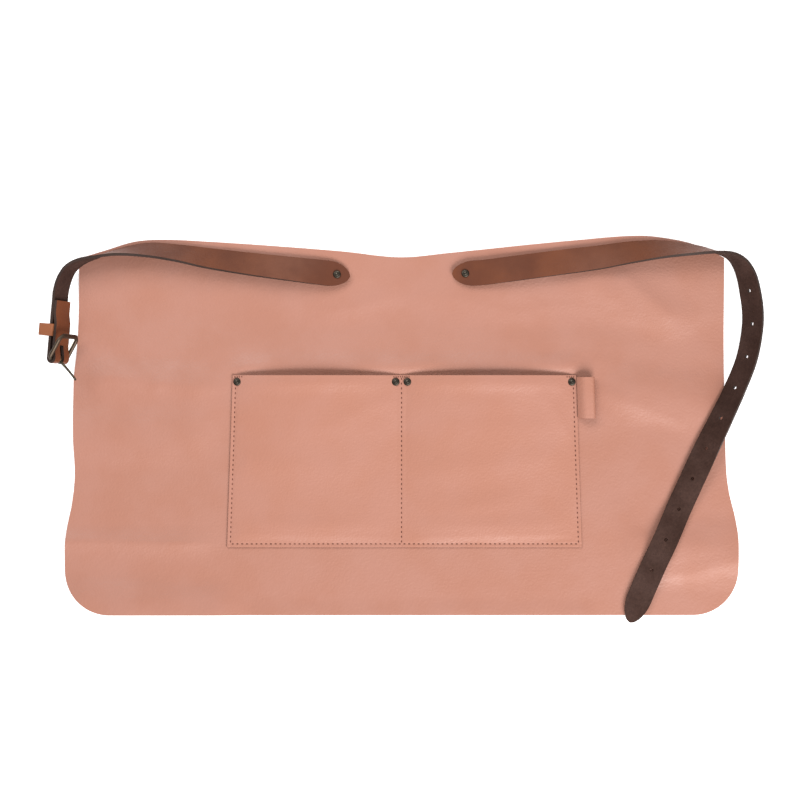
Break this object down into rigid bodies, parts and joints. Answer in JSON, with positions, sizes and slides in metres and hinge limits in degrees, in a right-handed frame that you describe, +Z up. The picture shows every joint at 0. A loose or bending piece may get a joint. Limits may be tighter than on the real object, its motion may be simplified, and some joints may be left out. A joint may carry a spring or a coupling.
{
  "type": "leather waist apron",
  "caption": "Leather waist apron lying open, with a patch pocket sewn down the middle, a side loop, rivets and a belt in two straps with a buckle",
  "frame": {"origin": "on the surface that the apron lies on, under the middle of its whole outline with the straps", "axes": "+X to the right along the waist as the apron is seen from above, +Y from the hem to the waist, +Z up from the surface"},
  "size_m": [0.7464, 0.402, 0.0445],
  "materials": {
    "apron_leather": "smooth, softly shining, fine grain",
    "strap_leather": "satin outer side, dull inner side",
    "keeper_leather": "satin",
    "buckle_brass": "antique, worn bright on the rails",
    "rivet_brass": "antique, domed with a dimple"
  },
  "bodies": {
    "apron": {"apron_panel": "apron_leather", "pocket_panel": "apron_leather", "side_loop": "apron_leather", "buckle_strap": "strap_leather", "punched_strap": "strap_leather", "keeper_loop": "keeper_leather", "belt_rivet_left": "rivet_brass", "belt_rivet_right": "rivet_brass", "pocket_rivet_left": "rivet_brass", "pocket_rivet_middle_left": "rivet_brass", "pocket_rivet_middle_right": "rivet_brass", "pocket_rivet_right": "rivet_brass"},
    "buckle": {"buckle_frame": "buckle_brass"},
    "prong": {"buckle_prong": "buckle_brass"}
  },
  "joints": [
    {"name": "frame_hinge", "type": "hinge", "parent": "apron", "child": "buckle", "pos_m": [-0.35388, 0.07302, 0.02352], "axis": [-0.4048, 0.0393, 0.9135], "range_deg": [-164, 12]},
    {"name": "prong_hinge", "type": "hinge", "parent": "buckle", "child": "prong", "pos_m": [-0.35388, 0.07302, 0.02352], "axis": [-0.4048, 0.0393, 0.9135], "range_deg": [-8, 94]}
  ]
}
